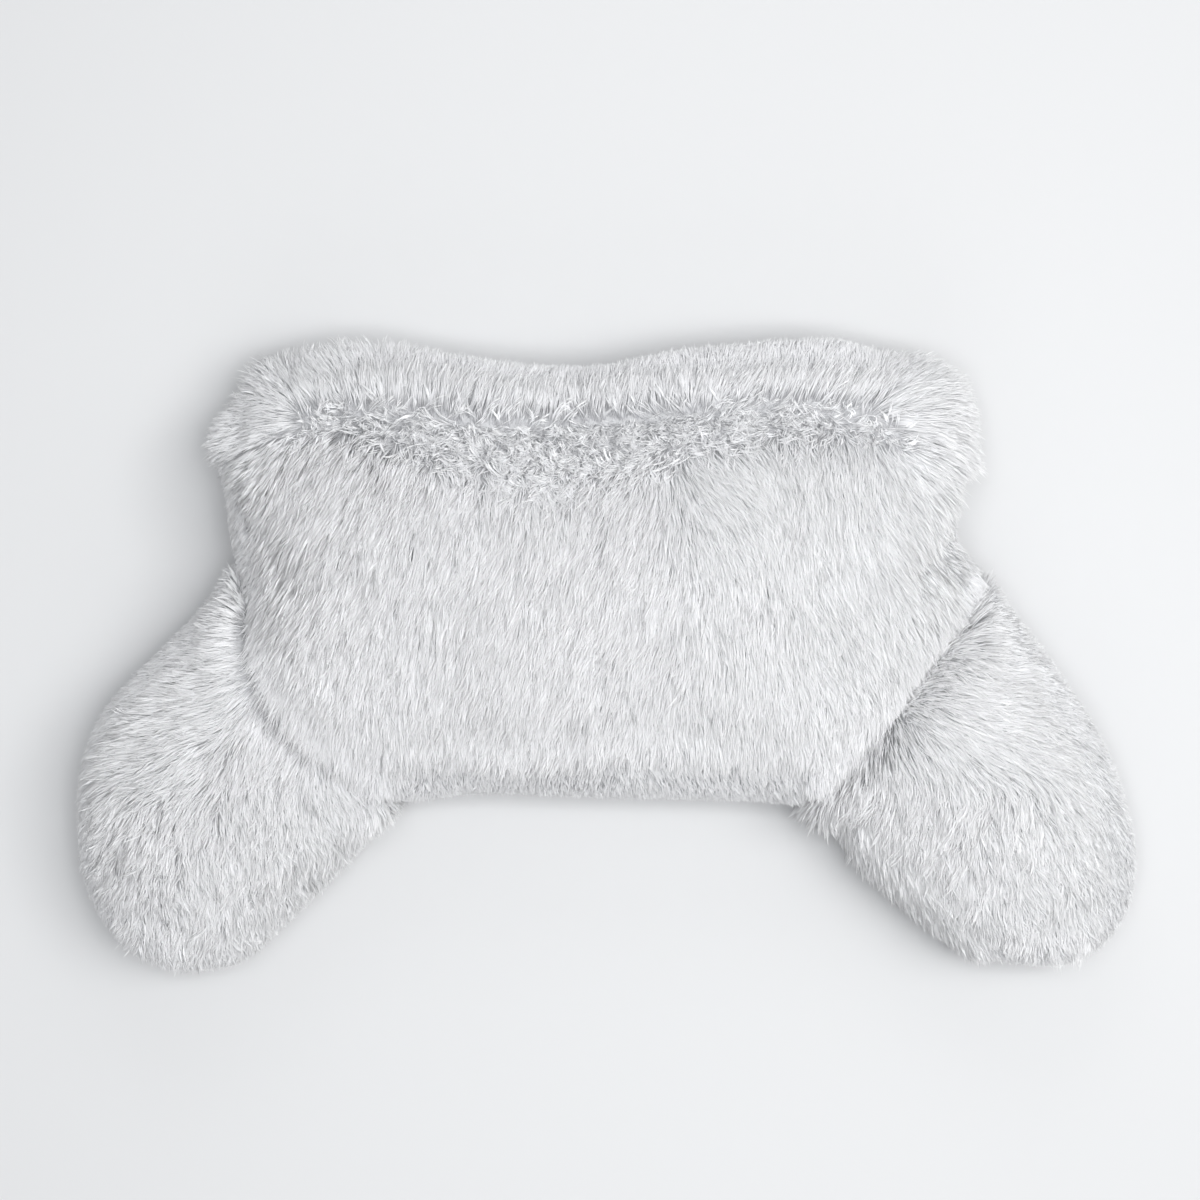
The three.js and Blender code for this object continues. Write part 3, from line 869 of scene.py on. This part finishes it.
    # The bake's map: tone across, root to tip upwards, each strand a few pixels wide.
    uv = np.stack([0.01 + 0.98 * tint + 0.003 * edge, 0.01 + 0.98 * along], 1)
    layer = mesh.uv_layers.new(name="OFBake")
    layer.data.foreach_set("uv", uv[faces.ravel()].astype(np.float32).ravel())
    mesh.normals_split_custom_set_from_vertices(normals.astype(np.float32))
    mesh.materials.append(FUR)
    obj = bpy.data.objects.new(name, mesh)
    scene.collection.objects.link(obj)
    print("FUR", name, "locks", m, "strands", q, "triangles", len(faces), flush=True)
    return obj


def even(amount, part):
    """Locks per square metre: fewer low down, where the pile is hidden, and more where
    it stands in curls."""

    def of(p, n):
        d = amount * (0.35 + 0.65 * smooth(0.008, 0.05, p[:, 2]))
        if part == "backrest":
            d = d * (1 + 0.15 * curl_share(p) * smooth(0.5, 0.7, n[:, 2]))
        return d * smooth(-0.75, -0.35, n[:, 2])

    return of


def open_air(part):
    """True where pile can stand: not pressed on the floor or on the neighbour."""

    def of(p, n):
        ok = n[:, 2] > -0.7
        for which in sides_of(part):
            side, along, _ = to_seam(p, which)
            near = (np.abs(side) < 0.012) & (along > 0.02) & (along < 0.98)
            ok &= ~(near & ((n[:, 2] < 0.05) | (p[:, 2] < 0.05)))
        return ok

    return of


def above_seam(p):
    far, side = to_path(TOP_SEAM, p[:, :2])
    return (side > 0) & (p[:, 1] > 0.12) | (p[:, 1] > 0.215)


def part_of(part, where):
    air = open_air(part)
    return lambda p, n: air(p, n) & where(p, n)


def front(p, n):
    return ~above_seam(p) & (n[:, 2] > 0.6)


furs = [
    ("backrest", grow("backrest_pile_strip", "backrest", part_of("backrest", lambda p, n: above_seam(p)), even(125000, "backrest"), 11, strands=4)),
    ("backrest", grow("backrest_pile_front_left", "backrest", part_of("backrest", lambda p, n: front(p, n) & (p[:, 0] < 0)), even(155000, "backrest"), 21, strands=4)),
    ("backrest", grow("backrest_pile_front_right", "backrest", part_of("backrest", lambda p, n: front(p, n) & (p[:, 0] >= 0)), even(155000, "backrest"), 61, strands=4)),
    ("backrest", grow("backrest_pile_sides", "backrest", part_of("backrest", lambda p, n: ~above_seam(p) & (n[:, 2] <= 0.6)), even(120000, "backrest"), 31, strands=4)),
    ("arm_left", grow("arm_left_pile", "arm_left", open_air("arm_left"), even(135000, "arm_left"), 41, strands=4)),
    ("arm_right", grow("arm_right_pile", "arm_right", open_air("arm_right"), even(135000, "arm_right"), 51, strands=4)),
]
for form in forms.values():
    form.data.calc_loop_triangles()
    print("FORM", form.name, "triangles", len(form.data.loop_triangles), flush=True)

# ---- hand over ----------------------------------------------------------------

for part, form in forms.items():
    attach(form, "root")
    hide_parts(part)
for part, fur in furs:
    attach(fur, "root")
